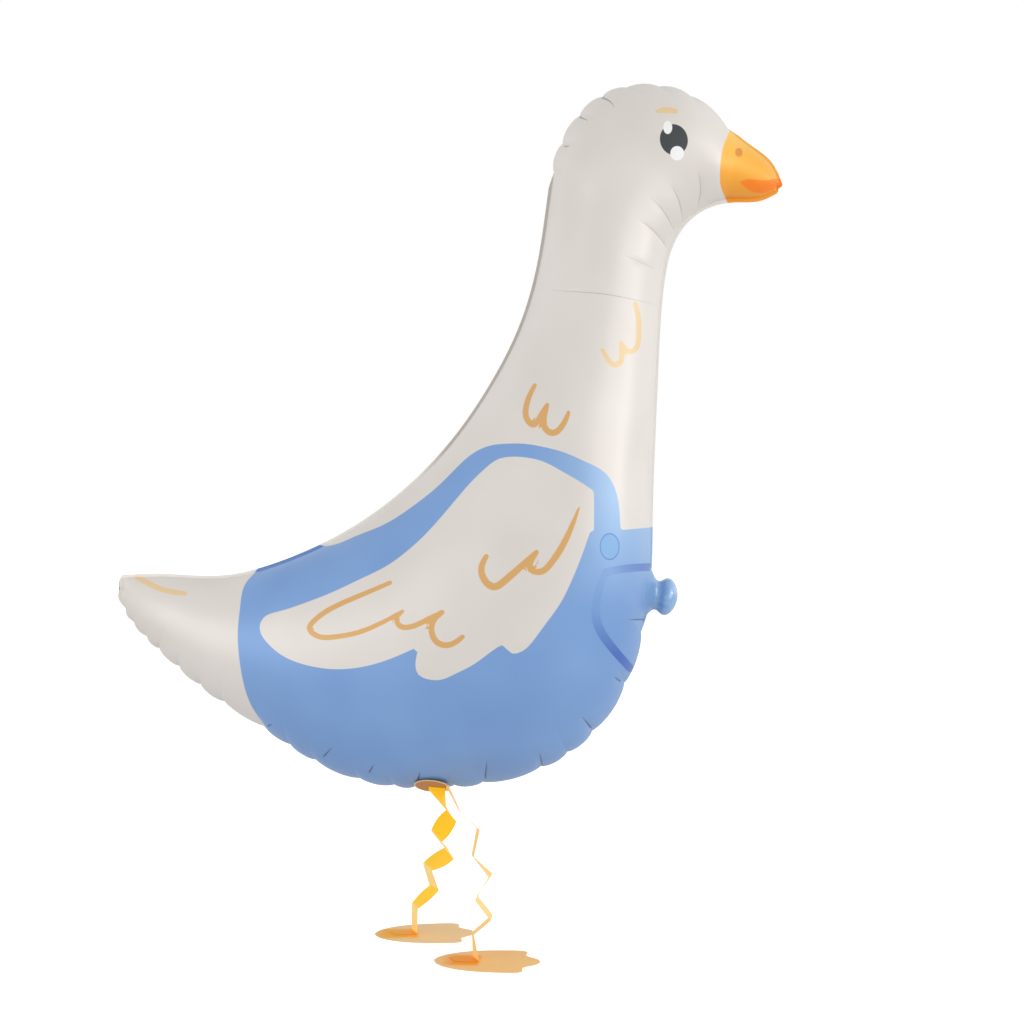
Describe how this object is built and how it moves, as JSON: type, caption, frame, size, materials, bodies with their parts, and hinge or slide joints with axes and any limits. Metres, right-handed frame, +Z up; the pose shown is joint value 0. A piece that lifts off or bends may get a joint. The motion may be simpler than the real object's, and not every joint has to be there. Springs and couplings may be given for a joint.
{
  "type": "goose foil balloon",
  "caption": "Standing goose-shaped foil balloon with a gathered heat-sealed seam, a filling neck at the chest, folded strip legs and flat webbed card feet.",
  "frame": {"origin": "on the floor, under the middle of the balloon's length and width", "axes": "+Z up, +X towards the beak, the seam in the plane y = 0, the orange tab on the -Y side"},
  "size_m": [0.8053, 0.2575, 1.05],
  "materials": {
    "foil": "satin pearl foil, printed",
    "tab_card": "coated card",
    "pale_strip": "folded coated paper",
    "gold_strip": "folded coated paper",
    "foot_card": "coated card"
  },
  "bodies": {
    "root": {"balloon": "foil", "leg_tab": "tab_card", "near_leg": "pale_strip", "far_leg": "gold_strip", "near_foot": "foot_card", "far_foot": "foot_card"}
  },
  "joints": []
}
